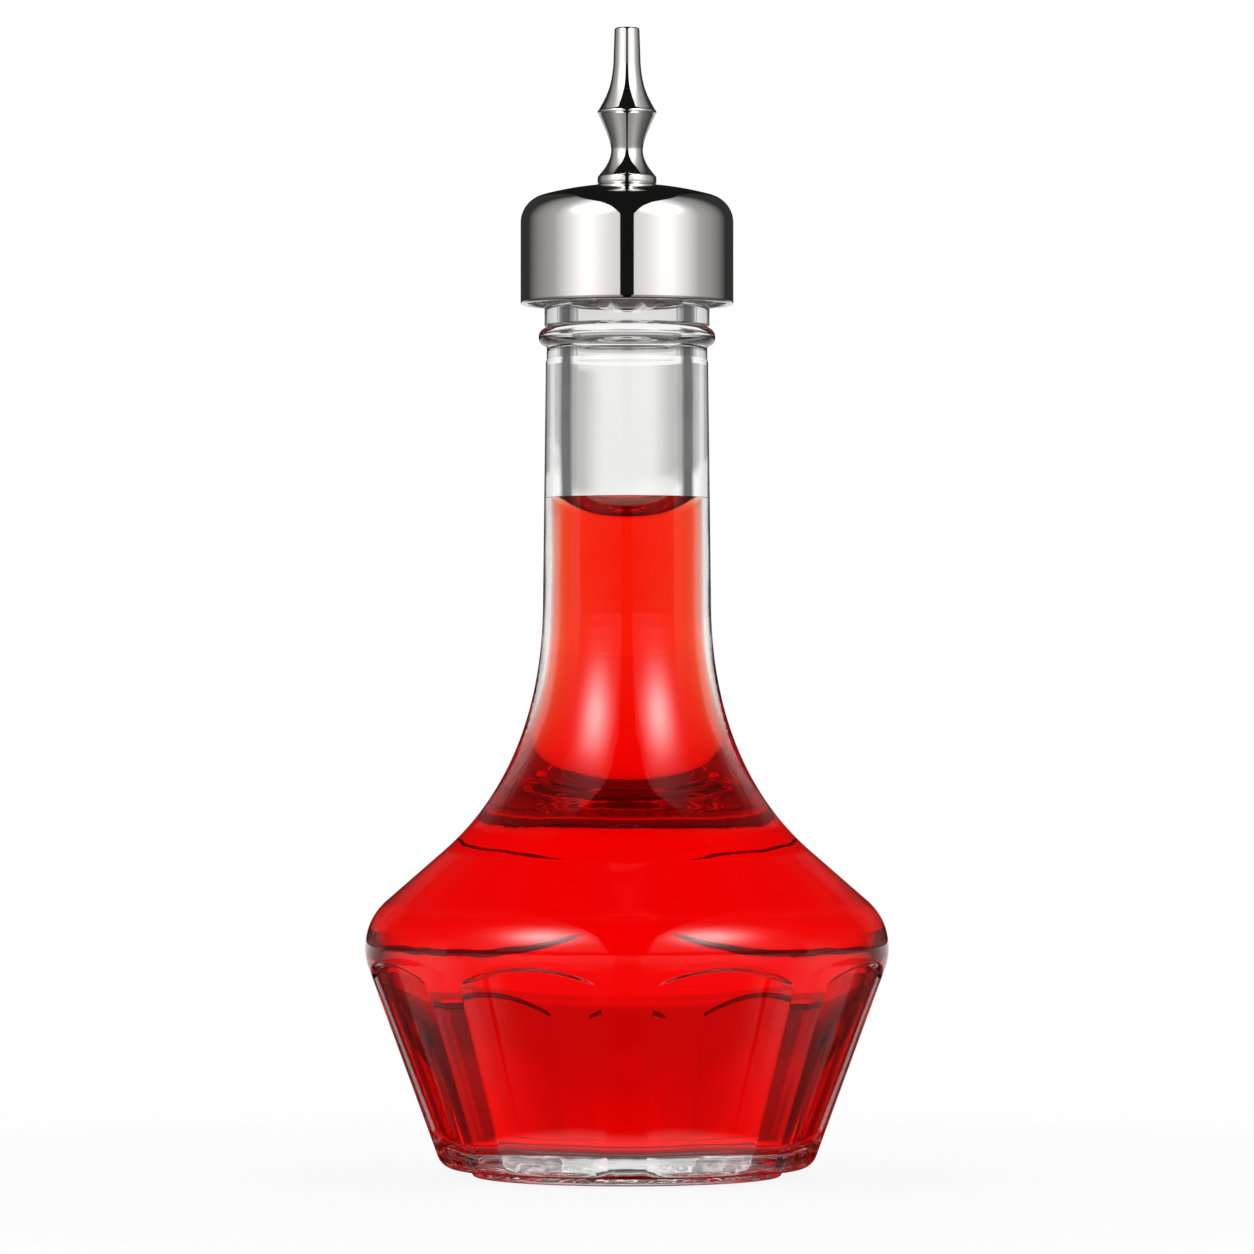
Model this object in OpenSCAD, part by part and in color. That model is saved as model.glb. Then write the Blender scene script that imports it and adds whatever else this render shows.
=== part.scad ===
// Dasher bottle for bitters: a pressed glass bottle with eight arched panels, and a push-in steel
// dasher top that pours through a turned spout. Millimetres, +Z up, origin on the table under the axis.

/* [Bottle body] */
// Largest radius of the body, over the ribs
body_r = 35.5; // [31:0.1:42]
// Height of the widest ring above the table
shoulder_z = 31; // [28:0.1:40]
// Radius of the rounded shoulder edge
shoulder_round = 8.3; // [6.5:0.1:10]
// Lean of the body wall below the shoulder, from the vertical
taper_angle = 20.2; // [12:0.1:24]
// Lean of the shoulder cone above it, from the vertical
slope_angle = 48.9; // [42:0.1:55]
// Height of the straight part of the shoulder cone
cone_h = 6.9; // [4:0.1:9]
// Thickness of the glass, square to the wall
wall = 3.2; // [2.6:0.1:4.2]
// Radius of the rounded edge at the foot of the body
heel_round = 2.5; // [1.5:0.1:4]
// Height of the inside floor above the table
floor_z = 4.6; // [3.4:0.1:7]
// Radius of the inside corner round the floor
floor_round = 4; // [2:0.1:6]

/* [Foot] */
// Outer radius of the foot ring
foot_r = 21; // [18:0.1:22.5]
// Width of the foot ring
foot_w = 2.8; // [2:0.1:4]
// Height of the foot ring under the body
foot_h = 1.1; // [0.8:0.1:2]
// Rise of the hollow in the underside, at its middle
punt_h = 1.8; // [1.2:0.1:2.6]

/* [Panels] */
// Number of arched panels round the body
panels = 8; // [6:1:10]
// Width of the rib between two panels, as an angle round the axis
rib_angle = 11; // [7:0.5:16]
// Height of the top of each arch
arch_z = 29.6; // [27:0.1:31]
// Radius of the arch at the head of each panel
arch_r = 19; // [17.5:0.1:26]

/* [Neck] */
// Height over which the shoulder sweeps up into the neck
flare_h = 33.9; // [28:0.1:40]
// Reach of the sweep's curve along the shoulder cone
flare_low = 8.5; // [6:0.1:11]
// Reach of the sweep's curve down the neck
flare_high = 18; // [12:0.1:22]
// Outer radius of the neck where the sweep ends
neck_r = 11.4; // [11:0.1:13]
// Outer radius of the neck just under the bead
neck_top_r = 10.9; // [10.7:0.1:12]
// Length of the neck from the sweep to the bead
neck_h = 34.4; // [26:0.1:42]
// Radius of the bore in the neck
bore_r = 7.7; // [7:0.05:8.4]
// Distance of the mould seam below the bead
seam_drop = 2.2; // [1.5:0.1:5]
// Step of the glass at the mould seam
seam_step = 0.12; // [0.08:0.02:0.2]
// Outer radius of the bead round the neck
bead_r = 12; // [11.8:0.1:13.2]
// Height of the bead
bead_h = 2.6; // [2:0.1:3.4]
// Outer radius of the finish above the bead
finish_r = 11.2; // [10.7:0.1:11.7]
// Height of the finish from the bead to the lip
finish_h = 13.3; // [12:0.1:18]
// Radius of the rounded lip edge
lip_round = 1.1; // [0.6:0.1:1.4]

/* [Filling] */
// Height of the liquid's edge on the glass
fill_z = 92; // [82:0.1:104]
// Depth of the hollow in the liquid's surface
meniscus_h = 3.3; // [1:0.1:3.5]

/* [Cap] */
// Outer radius of the steel cap
cap_r = 14.45; // [14:0.05:16]
// Height of the cap's skirt, from its rim to the corner
skirt_h = 11.2; // [9:0.1:12.5]
// Radius of the rounded corner at the top of the cap
cap_round = 3.8; // [3:0.1:5]
// Radius of the gentle crown of the cap
crown_r = 44; // [36:0.5:70]
// Thickness of the steel
steel = 0.8; // [0.5:0.05:1.1]
// Radius of the flat seat for the spout
seat_r = 4.3; // [4.1:0.1:5]

/* [Spout] */
// Height of the spout above its seat
spout_h = 21.5; // [18:0.1:26]
// Outer radius of the tip
tip_r = 1.7; // [1.5:0.05:2]
// Radius of the hole that the bitters leave by
dash_r = 0.8; // [0.5:0.05:1]
// Height of the knife-edged ring above the seat
ring_z = 10; // [9:0.1:12]
// Radius of the ring, and of the foot flange
ring_r = 4; // [3.6:0.05:4.1]
// Radius of the waist between flange and ring
waist_r = 2.15; // [1.9:0.05:2.6]
// Height of the waist above the seat
waist_z = 4.7; // [4:0.1:5.5]
// Thickness of the foot flange
flange_h = 1.4; // [1:0.1:2]
// Radius of the shank that passes down through the stopper
shank_r = 2.5; // [2:0.05:2.8]

/* [Stopper] */
// Depth of the plug below the lip
plug_h = 8; // [8:0.1:12]
// Thickness of the flange that sits on the lip
seal_h = 1.8; // [1.2:0.1:2.4]
// Number of sealing ribs on the plug
ribs = 3; // [2:1:4]
// Height of the ribs over the plug's core
rib_rise = 0.8; // [0.4:0.05:1.1]
// Thickness of the gasket under the cap
gasket_h = 1; // [0.6:0.1:1.2]
// Width of the gasket's ring
gasket_w = 1.4; // [1:0.1:1.8]
// Thickness of the clamp washer
washer_h = 0.8; // [0.5:0.1:1.2]
// Radius of the clamp washer
washer_r = 5.2; // [4.8:0.1:6]
// Thickness of the retaining nut
nut_h = 2; // [1.6:0.1:3]
// Width of the nut across its flats
nut_flats = 7; // [6.4:0.1:8]

/* [Liner] */
// Thickness of the liner between the stopper's flange and the gasket
web_h = 2.4; // [1.6:0.1:3.4]
// Distance of the liner's lower edge above the cap's rim
liner_rise = 1.4; // [1:0.1:4]

/* [Clearances] */
// Radial gap between the stopper's ribs and the bore
plug_gap = 0.1; // [0.05:0.01:0.2]
// Radial gap round the shank in the pieces that it passes
shank_gap = 0.1; // [0.05:0.01:0.2]
// Gap between the liner and the steel round it
liner_gap = 0.1; // [0.05:0.01:0.2]
// Radial gap between the liner and the glass finish
finish_gap = 0.5; // [0.3:0.05:0.8]
// Gap between the filling and the glass
fill_gap = 0.05; // [0.03:0.01:0.1]

/* [Hidden] */
$fn = 96;

// Colours of the pieces
clear_glass = [0.86, 0.9, 0.92, 0.35];
red_bitters = [0.85, 0.03, 0.01, 0.9];
polished_steel = [0.72, 0.7, 0.69];
clear_silicone = [0.88, 0.88, 0.86];
white_plastic = [0.93, 0.93, 0.92];

// Steps along a curve of the outlines
fine = 16;
coarse = 6;

// Heights, from the table up
cone_low_z = shoulder_z + shoulder_round * sin(slope_angle);
cone_top_z = cone_low_z + cone_h;
flare_top_z = cone_top_z + flare_h;
bead_low_z = flare_top_z + neck_h;
bead_mid_z = bead_low_z + bead_h / 2;
lip_z = bead_low_z + bead_h + finish_h;
liner_z = lip_z + seal_h;
plug_low_z = lip_z - plug_h;
washer_z = plug_low_z - washer_h;
nut_z = washer_z - nut_h;
seat_z = liner_z + web_h + gasket_h + steel;

// The crown's height at a distance from the axis, for a layer that lies a depth below the outside
function crown_z(r, depth) =
  seat_z + sqrt(pow(crown_r - depth, 2) - r * r) - sqrt(pow(crown_r, 2) - pow(seat_r, 2));

// Outline tools: an arc from one angle to another, and a curve with a handle at each end
function arc(centre, r, from, to, steps) =
  [for (i = [0:steps]) let (a = from + (to - from) * i / steps) centre + r * [cos(a), sin(a)]];
function curve(a, b, c, d, steps) =
  [for (i = [0:steps]) let (t = i / steps, s = 1 - t)
    s * s * s * a + 3 * s * s * t * b + 3 * s * t * t * c + t * t * t * d];

// The body wall leans out from the heel to the shoulder: its radius at a height, for a layer
// that lies a depth inside the glass
function wall_r(z, depth) =
  body_r - shoulder_round + (shoulder_round - depth) / cos(taper_angle) + (z - shoulder_z) * tan(taper_angle);

// A rounded corner between a level face and the leaning wall
function wall_corner(z, r, depth) =
  arc([wall_r(z + r, depth) - r / cos(taper_angle), z + r], r, -90, -taper_angle, coarse);

// The side of the bottle from the heel to the neck, for a layer a depth inside the glass
function shoulder_side(depth, end_r, end_z, low, high) =
  let (
    centre = [body_r - shoulder_round, shoulder_z],
    inner = shoulder_round - depth,
    start = centre + inner * [cos(slope_angle), sin(slope_angle)] + cone_h * [-tan(slope_angle), 1],
    along = [-sin(slope_angle), cos(slope_angle)],
    end = [end_r, end_z]
  )
  concat(
    arc(centre, inner, -taper_angle, slope_angle, fine),
    curve(start, start + low * along, end - [0, high], end, 2 * fine)
  );

// The inside of the bottle, from the middle of the floor to the foot of the neck's bore
inner_low = 3;
inner_high = 29;
function cavity_side(gap) = concat(
  [[0, floor_z + gap]],
  wall_corner(floor_z + gap, floor_round, wall + gap),
  shoulder_side(wall + gap, bore_r - gap, flare_top_z, inner_low, inner_high)
);

// Each panel is a flat facet in a plane through the tip of the body's cone
cone_tip_z = shoulder_z - (body_r - shoulder_round + shoulder_round / cos(taper_angle)) / tan(taper_angle);
panel_half = 180 / panels - rib_angle / 2;
panel_lean = atan(tan(taper_angle) * cos(panel_half));
module panel_cut() {
  peak = [(arch_z - cone_tip_z) * tan(panel_lean), arch_z];
  centre = peak - arch_r * [sin(panel_lean), cos(panel_lean)];
  translate([centre[0], 0, centre[1]])
    rotate([0, 90 + panel_lean, 0])
      cylinder(r = arch_r, h = shoulder_round, $fn = 96);
}

module glass_bottle() {
  foot_edge = 0.5;
  foot_in = foot_r - foot_w;
  punt_r = (foot_in * foot_in + punt_h * punt_h) / (2 * punt_h);
  punt_a = asin(foot_in / punt_r);
  bead_round = bead_h / 2;
  outer = concat(
    arc([0, punt_h - punt_r], punt_r, 90, 90 - punt_a, coarse),
    [[foot_in + foot_edge, 0]],
    arc([foot_r - foot_edge, foot_edge], foot_edge, -90, 0, coarse),
    [[foot_r, foot_h]],
    wall_corner(foot_h, heel_round, 0),
    shoulder_side(0, neck_r, flare_top_z, flare_low, flare_high),
    [
      [neck_top_r + seam_step, bead_low_z - seam_drop],
      [neck_top_r, bead_low_z - seam_drop + seam_step],
      [neck_top_r, bead_low_z]
    ],
    arc([bead_r - bead_round, bead_mid_z], bead_round, -80, 80, fine),
    [[finish_r, bead_low_z + bead_h]],
    arc([finish_r - lip_round, lip_z - lip_round], lip_round, 0, 90, coarse),
    [[0, lip_z]]
  );
  lip_in = lip_round / 2;
  cavity = concat(
    cavity_side(0),
    [[bore_r, lip_z - lip_in]],
    arc([bore_r + lip_in, lip_z - lip_in], lip_in, 180, 90, coarse),
    [[bore_r + lip_in, lip_z + 1], [0, lip_z + 1]]
  );
  color(clear_glass)
    difference() {
      rotate_extrude() polygon(outer);
      rotate_extrude() polygon(cavity);
      for (i = [0:panels - 1])
        rotate([0, 0, (i + 0.5) * 360 / panels]) panel_cut();
    }
}

module bitters() {
  edge_r = bore_r - fill_gap;
  surface = [for (i = [0:fine]) let (s = 1 - i / fine) [edge_r * s, fill_z - meniscus_h * (1 - pow(s, 3))]];
  color(red_bitters)
    rotate_extrude()
      polygon(concat(cavity_side(fill_gap), surface));
}

// The cap's outline at a depth below its outside, from the skirt up to the flat seat
skirt_top_z = seat_z - cap_drop();
function cap_drop() =
  let (reach = crown_r - cap_round, out = cap_r - cap_round)
  sqrt(pow(crown_r, 2) - pow(seat_r, 2)) - sqrt(reach * reach - out * out);
rim_z = skirt_top_z - skirt_h;
corner_a = acos((cap_r - cap_round) / (crown_r - cap_round));
function cap_side(depth, from_z, in_r) =
  let (
    corner = [cap_r - cap_round, skirt_top_z],
    start = corner + (cap_round - depth) * [cos(corner_a), sin(corner_a)]
  )
  concat(
    [[cap_r - depth, from_z]],
    arc(corner, cap_round - depth, 0, corner_a, fine),
    [for (i = [1:coarse]) let (r = start[0] + (in_r - start[0]) * i / coarse) [r, crown_z(r, depth)]]
  );

module cap_shell() {
  edge = steel / 2;
  inside = cap_side(steel, rim_z + edge, seat_r);
  outside = cap_side(0, rim_z + edge, seat_r);
  hole_r = shank_r + shank_gap;
  color(polished_steel)
    rotate_extrude()
      polygon(concat(
        arc([cap_r - edge, rim_z + edge], edge, -180, 0, coarse),
        outside,
        [[hole_r, seat_z], [hole_r, seat_z - steel], [seat_r, seat_z - steel]],
        [for (i = [len(inside) - 1:-1:0]) inside[i]]
      ));
}

module cap_liner() {
  gap = steel + liner_gap;
  low_z = rim_z + liner_rise;
  pocket_r = shank_r + shank_gap + gasket_w + liner_gap;
  top_r = max(seat_r, pocket_r + steel);
  color(white_plastic)
    rotate_extrude()
      polygon(concat(
        [[shank_r + shank_gap, liner_z], [finish_r + finish_gap, liner_z], [finish_r + finish_gap, low_z]],
        cap_side(gap, low_z, top_r),
        [
          [pocket_r, crown_z(top_r, gap)],
          [pocket_r, liner_z + web_h],
          [shank_r + shank_gap, liner_z + web_h]
        ]
      ));
}

module spout_gasket() {
  color(clear_silicone)
    translate([0, 0, liner_z + web_h])
      difference() {
        cylinder(r = shank_r + shank_gap + gasket_w, h = gasket_h);
        translate([0, 0, -1]) cylinder(r = shank_r + shank_gap, h = gasket_h + 2);
      }
}

module spout() {
  edge = 0.35;
  tip_z = spout_h;
  shank_low = nut_z - seat_z - 0.4;
  outline = concat(
    [[dash_r, shank_low], [shank_r - edge, shank_low], [shank_r, shank_low + edge], [shank_r, 0]],
    arc([ring_r - edge, edge], edge, -90, 0, coarse),
    arc([ring_r - edge, flange_h - edge], edge, 0, 90, coarse),
    curve([ring_r - edge - 0.1, flange_h], [waist_r + 0.6, flange_h + 0.7], [waist_r, waist_z - 1.2],
      [waist_r, waist_z], fine),
    curve([waist_r, waist_z], [waist_r, waist_z + 1.8], [ring_r - 0.5, ring_z - 1.4],
      [ring_r - 0.3, ring_z - 0.35], fine),
    arc([ring_r - edge / 2, ring_z], edge / 2, -60, 60, coarse),
    curve([ring_r - 0.3, ring_z + 0.35], [ring_r - 1.4, ring_z + 2], [tip_r + 0.35, ring_z + 3.4],
      [tip_r + 0.15, ring_z + 6.4], fine),
    arc([tip_r - edge, tip_z - edge], edge, 0, 90, coarse),
    [[dash_r, tip_z]]
  );
  color(polished_steel)
    translate([0, 0, seat_z]) rotate_extrude() polygon(outline);
}

module stopper() {
  core_r = bore_r - plug_gap - rib_rise;
  pitch = plug_h / (ribs + 0.5);
  rib_half = pitch * 0.32;
  nose = 0.7;
  function rib(i) =
    let (z = lip_z - pitch * (i + 0.8))
    [for (k = [0:coarse * 2]) let (a = 90 - 90 * k / coarse) [core_r + rib_rise * cos(a), z + rib_half * sin(a)]];
  color(clear_silicone)
    rotate_extrude()
      polygon(concat(
        [[shank_r + shank_gap, liner_z]],
        arc([finish_r - 0.6, liner_z - 0.4], 0.4, 90, 0, coarse),
        arc([finish_r - 0.6, lip_z + 0.4], 0.4, 0, -90, coarse),
        [[core_r, lip_z]],
        [for (i = [0:ribs - 1]) each rib(i)],
        arc([core_r - nose, plug_low_z + nose], nose, 0, -90, coarse),
        [[shank_r + shank_gap, plug_low_z]]
      ));
}

module clamp_washer() {
  color(polished_steel)
    translate([0, 0, washer_z])
      difference() {
        cylinder(r = washer_r, h = washer_h);
        translate([0, 0, -1]) cylinder(r = shank_r + shank_gap, h = washer_h + 2);
      }
}

module retaining_nut() {
  corner_r = nut_flats / sqrt(3);
  bevel = 0.5;
  color(polished_steel)
    translate([0, 0, nut_z])
      difference() {
        intersection() {
          cylinder(r = corner_r, h = nut_h, $fn = 6);
          rotate_extrude()
            polygon([[0, 0], [corner_r - bevel, 0], [corner_r + 0.1, bevel], [corner_r + 0.1, nut_h], [0, nut_h]]);
        }
        translate([0, 0, -1]) cylinder(r = shank_r + shank_gap, h = nut_h + 2);
      }
}

glass_bottle();
bitters();
cap_shell();
cap_liner();
spout();
spout_gasket();
stopper();
clamp_washer();
retaining_nut();
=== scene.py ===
"""A bitters dasher bottle: its glass, its red filling, its steel dasher top and a white studio.

The packed part gives the frame. Every piece is turned or pressed here as a finer mesh, takes the place of a node of
the packed part and rides on that node's body.
"""
import math

import bpy
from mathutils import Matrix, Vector


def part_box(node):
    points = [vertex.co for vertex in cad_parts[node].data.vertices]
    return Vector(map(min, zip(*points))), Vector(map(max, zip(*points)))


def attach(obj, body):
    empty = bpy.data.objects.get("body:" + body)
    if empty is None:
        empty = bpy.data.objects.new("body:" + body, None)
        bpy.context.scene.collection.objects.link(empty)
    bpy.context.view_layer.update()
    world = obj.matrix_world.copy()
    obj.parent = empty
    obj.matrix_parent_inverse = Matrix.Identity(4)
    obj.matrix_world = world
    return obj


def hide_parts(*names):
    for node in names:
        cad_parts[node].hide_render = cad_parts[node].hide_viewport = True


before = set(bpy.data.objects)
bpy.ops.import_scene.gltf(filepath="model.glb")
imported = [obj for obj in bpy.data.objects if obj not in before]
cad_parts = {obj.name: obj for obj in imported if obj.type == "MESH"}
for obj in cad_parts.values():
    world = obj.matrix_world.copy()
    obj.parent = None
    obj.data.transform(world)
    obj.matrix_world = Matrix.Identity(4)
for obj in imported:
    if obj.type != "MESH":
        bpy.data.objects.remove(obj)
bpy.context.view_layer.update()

bl_info = {
    "name": "Bitters dasher bottle",
    "version": (1, 0, 0),
    "blender": (4, 5, 0),
    "location": "3D View > Sidebar > Bitters",
    "description": "A pressed glass bottle of bitters with a steel dasher top, in a white studio",
    "category": "Object",
}

MM = 0.001
MICRON = 0.000001

GLASS_LOW, GLASS_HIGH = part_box("glass_bottle")
BITTERS_LOW, BITTERS_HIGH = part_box("bitters")
CAP_LOW, CAP_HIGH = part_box("cap_shell")
LINER_LOW, LINER_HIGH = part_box("cap_liner")
SPOUT_LOW, SPOUT_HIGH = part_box("spout")
GASKET_LOW, GASKET_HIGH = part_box("spout_gasket")
STOPPER_LOW, STOPPER_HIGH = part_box("stopper")
WASHER_LOW, WASHER_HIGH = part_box("clamp_washer")
NUT_LOW, NUT_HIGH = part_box("retaining_nut")


def size(name, description, default):
    """A length that a user may change, in metres."""
    return bpy.props.FloatProperty(
        name=name, description=description, default=default, min=0.0, precision=5,
        subtype="DISTANCE", unit="LENGTH",
    )


def lean(name, description, degrees):
    """An angle that a user may change."""
    return bpy.props.FloatProperty(
        name=name, description=description, default=math.radians(degrees), subtype="ANGLE", unit="ROTATION",
    )


def colour(name, description, default):
    """A colour that a user may change."""
    return bpy.props.FloatVectorProperty(
        name=name, description=description, default=default, min=0.0, max=1.0, size=3, subtype="COLOR",
    )


def share(name, description, default):
    """A plain factor that a user may change."""
    return bpy.props.FloatProperty(name=name, description=description, default=default, min=0.0, subtype="FACTOR")


class BottleSettings(bpy.types.PropertyGroup):
    """Sizes of the pressed glass bottle"""

    body_r: size("Body radius", "Largest radius, over the ribs", GLASS_HIGH.x)
    shoulder_z: size("Shoulder height", "Height of the widest ring", 31 * MM)
    shoulder_round: size("Shoulder rounding", "Radius of the rounded shoulder edge", 8.3 * MM)
    taper: lean("Body taper", "Lean of the body wall from the vertical", 20.2)
    slope: lean("Shoulder slope", "Lean of the shoulder cone from the vertical", 48.9)
    cone_h: size("Cone height", "Height of the straight part of the shoulder", 6.9 * MM)
    wall: size("Wall", "Thickness of the glass", 3.2 * MM)
    heel_round: size("Heel rounding", "Radius of the edge at the foot of the body", 2.5 * MM)
    floor_z: size("Floor height", "Height of the inside floor", 4.6 * MM)
    floor_round: size("Floor rounding", "Radius of the corner round the inside floor", 4 * MM)
    foot_r: size("Foot radius", "Outer radius of the foot ring", 21 * MM)
    foot_w: size("Foot width", "Width of the foot ring", 2.8 * MM)
    foot_h: size("Foot height", "Height of the foot ring", 1.1 * MM)
    punt_h: size("Punt height", "Rise of the hollow underneath", 1.8 * MM)
    panels: bpy.props.IntProperty(name="Panels", description="Flat panels round the body", default=8, min=3)
    rib_angle: lean("Rib width", "Angle that a rib takes round the axis", 11)
    arch_z: size("Arch height", "Height of the top of each arch", 29.6 * MM)
    arch_r: size("Arch radius", "Radius of the arch at the head of a panel", 19 * MM)
    rib_soft: size("Rib softness", "Depth over which a rib's edge is rounded", 0.07 * MM)
    arch_soft: size("Arch softness", "Half the width of the step round an arch", 0.35 * MM)
    flare_h: size("Flare height", "Height of the sweep into the neck", 33.9 * MM)
    flare_low: size("Flare's low handle", "Reach of the sweep along the cone", 8.5 * MM)
    flare_high: size("Flare's high handle", "Reach of the sweep down the neck", 18 * MM)
    inner_low: size("Inner low handle", "Reach of the inside sweep along the cone", 3 * MM)
    inner_high: size("Inner high handle", "Reach of the inside sweep down the bore", 29 * MM)
    neck_r: size("Neck radius", "Outer radius where the sweep ends", 11.4 * MM)
    neck_top_r: size("Neck top radius", "Outer radius under the bead", 10.9 * MM)
    bore_r: size("Bore radius", "Radius of the bore in the neck", 7.7 * MM)
    seam_drop: size("Seam drop", "Distance of the mould seam below the bead", 2.2 * MM)
    seam_step: size("Seam step", "Step of the glass at the mould seam", 0.12 * MM)
    bead_r: size("Bead radius", "Outer radius of the bead", 12 * MM)
    bead_h: size("Bead height", "Height of the bead", 2.6 * MM)
    finish_r: size("Finish radius", "Outer radius above the bead", 11.2 * MM)
    finish_h: size("Finish height", "Height from the bead to the lip", 13.3 * MM)
    lip_round: size("Lip rounding", "Radius of the lip's edge", 1.1 * MM)
    lip_z: size("Lip height", "Height of the lip", GLASS_HIGH.z)
    tint: colour("Glass colour", "Colour of the clear glass", (0.998, 0.997, 0.994))
    bend: share("Refraction", "How strongly the glass bends light", 1.5)


class FillingSettings(bpy.types.PropertyGroup):
    """The red bitters in the bottle"""

    fill_z: size("Fill height", "Height of the liquid's edge on the glass", BITTERS_HIGH.z)
    meniscus_h: size("Meniscus", "Depth of the hollow in the surface", 3.3 * MM)
    wetting: size("Wetting", "How far the liquid's mesh reaches into the glass, so that no air shows", 0.05 * MM)
    colour: colour("Bitters colour", "Light that the bitters let through", (0.9985, 0.3, 0.0))
    strength: bpy.props.FloatProperty(
        name="Strength", description="How quickly the bitters soak up the other colours, per metre", default=420.0,
    )
    bend: share("Refraction", "How strongly the bitters bend light", 1.34)


class CapSettings(bpy.types.PropertyGroup):
    """The deep-drawn steel cap and the liner inside it"""

    cap_r: size("Cap radius", "Outer radius of the cap", CAP_HIGH.x)
    rim_z: size("Rim height", "Height of the cap's rim", CAP_LOW.z)
    seat_z: size("Seat height", "Height of the flat seat for the spout", 134.355 * MM)
    cap_round: size("Corner rounding", "Radius of the corner at the top of the cap", 3.8 * MM)
    crown_r: size("Crown radius", "Radius of the gentle crown", 44 * MM)
    seat_r: size("Seat radius", "Radius of the seat for the spout", 4.3 * MM)
    steel: size("Steel thickness", "Thickness of the steel", 0.8 * MM)
    liner_gap: size("Liner gap", "Gap between liner and steel", 0.1 * MM)
    metal: colour("Steel colour", "Colour of the polished steel", (0.72, 0.70, 0.68))
    plastic: colour("Liner colour", "Colour of the liner", (0.86, 0.86, 0.84))


class SpoutSettings(bpy.types.PropertyGroup):
    """The turned spout"""

    ring_r: size("Ring radius", "Radius of the knife-edged ring and the flange", SPOUT_HIGH.x)
    tip_z: size("Tip height", "Height of the tip", SPOUT_HIGH.z)
    shank_low: size("Shank end", "Height of the shank's lower end", SPOUT_LOW.z)
    tip_r: size("Tip radius", "Outer radius of the tip", 1.7 * MM)
    dash_r: size("Hole radius", "Radius of the hole that the bitters leave by", 0.8 * MM)
    ring_z: size("Ring height", "Height of the ring above the seat", 10 * MM)
    waist_r: size("Waist radius", "Radius of the waist", 2.15 * MM)
    waist_z: size("Waist height", "Height of the waist above the seat", 4.85 * MM)
    flange_h: size("Flange thickness", "Thickness of the foot flange", 1.4 * MM)
    shank_r: size("Shank radius", "Radius of the shank", 2.5 * MM)
    metal: colour("Spout colour", "Colour of the turned steel", (0.74, 0.73, 0.72))


class StopperSettings(bpy.types.PropertyGroup):
    """The silicone stopper, its gasket and the fasteners that clamp it"""

    ribs: bpy.props.IntProperty(name="Ribs", description="Sealing ribs on the plug", default=3, min=1)
    rib_rise: size("Rib height", "Height of the ribs over the core", 0.8 * MM)
    plug_gap: size("Plug gap", "Gap between the ribs and the bore", 0.1 * MM)
    shank_gap: size("Shank gap", "Gap round the shank", 0.1 * MM)
    nut_flats: size("Nut flats", "Width of the nut across its flats", NUT_HIGH.y * 2)
    bevel: size("Nut bevel", "Bevel on the nut's corners", 0.5 * MM)
    silicone: colour("Silicone colour", "Colour of the silicone", (0.84, 0.84, 0.82))
    metal: colour("Fastener colour", "Colour of the washer and nut", (0.62, 0.61, 0.6))


class StudioSettings(bpy.types.PropertyGroup):
    """Camera, floor and lights"""

    eye: bpy.props.FloatVectorProperty(
        name="Camera place", description="Where the camera stands", default=(0.0, -0.8875, 0.0615),
        size=3, subtype="TRANSLATION", unit="LENGTH",
    )
    aim_z: size("Aim height", "Height on the axis that the camera looks at", 74.4 * MM)
    lens: bpy.props.FloatProperty(name="Lens", description="Focal length in millimetres", default=187.75)
    light_r: size("Light distance", "Radius of the dome that holds the softboxes", 2.5)
    paper_r: size("Paper distance", "Radius of the dome that holds the white paper", 0.8)
    ambient: share("Ambient level", "Even light on matt surfaces", 0.75)
    shade: share("Shade level", "What mirrors and glass see between the lights", 0.01)
    softbox: share("Softbox level", "Brightness of the softboxes", 1.44)
    core: share("Core level", "Brightness of the hot middle of each softbox", 10.0)
    glass_share: share("Share on glass", "Part of the softboxes' even level that glass mirrors", 0.1)
    core_turn: lean("Core turn", "Angle from the camera's side to the middle of a softbox", 40)
    core_rise: lean("Core rise", "Angle from the floor to the middle of a softbox", 31)
    core_w: lean("Core width", "Half the width of the hot middle", 15)
    core_h: lean("Core height", "Half the height of the hot middle", 10.5)


def spread(first, last, steps):
    """Even steps from first to last, both included."""
    return [first + (last - first) * i / steps for i in range(steps + 1)]


def arc(centre, radius, start, end, steps):
    """Points of an arc in the plane of radius and height, between two angles in degrees."""
    turns = [math.radians(a) for a in spread(start, end, steps)]
    return [(centre[0] + radius * math.cos(a), centre[1] + radius * math.sin(a)) for a in turns]


def curve(a, b, c, d, steps):
    """Points of a curve from a to d with the handles b and c."""
    points = []
    for t in spread(0.0, 1.0, steps):
        s = 1.0 - t
        weights = (s ** 3, 3 * s * s * t, 3 * s * t * t, t ** 3)
        points.append(tuple(sum(w * p[k] for w, p in zip(weights, (a, b, c, d))) for k in (0, 1)))
    return points


def ease(value):
    """A smooth step from 0 to 1."""
    t = min(max(value, 0.0), 1.0)
    return t * t * (3.0 - 2.0 * t)


def soft_min(a, b, blend):
    """The smaller of two lengths, with the corner between them rounded."""
    near = max(blend - abs(a - b), 0.0) / blend
    return min(a, b) - near * near * blend / 4.0


def start_clean():
    """Leaves edit mode and deselects everything."""
    if bpy.context.object and bpy.context.object.mode != "OBJECT":
        bpy.ops.object.mode_set(mode="OBJECT")
    bpy.ops.object.select_all(action="DESELECT")


def supported(outline, near=0.1 * MM, far=4 * MM):
    """Adds points to the long straight stretches of an outline, so that light bends evenly along them."""
    points = [outline[0]]
    for here, there in zip(outline, outline[1:]):
        length = math.dist(here, there)
        if length > 1.2 * MM:
            inner = spread(near / length, 1.0 - near / length, math.ceil(length / far))
            points += [tuple(a + (b - a) * t for a, b in zip(here, there)) for t in inner]
        points.append(there)
    return points


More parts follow.
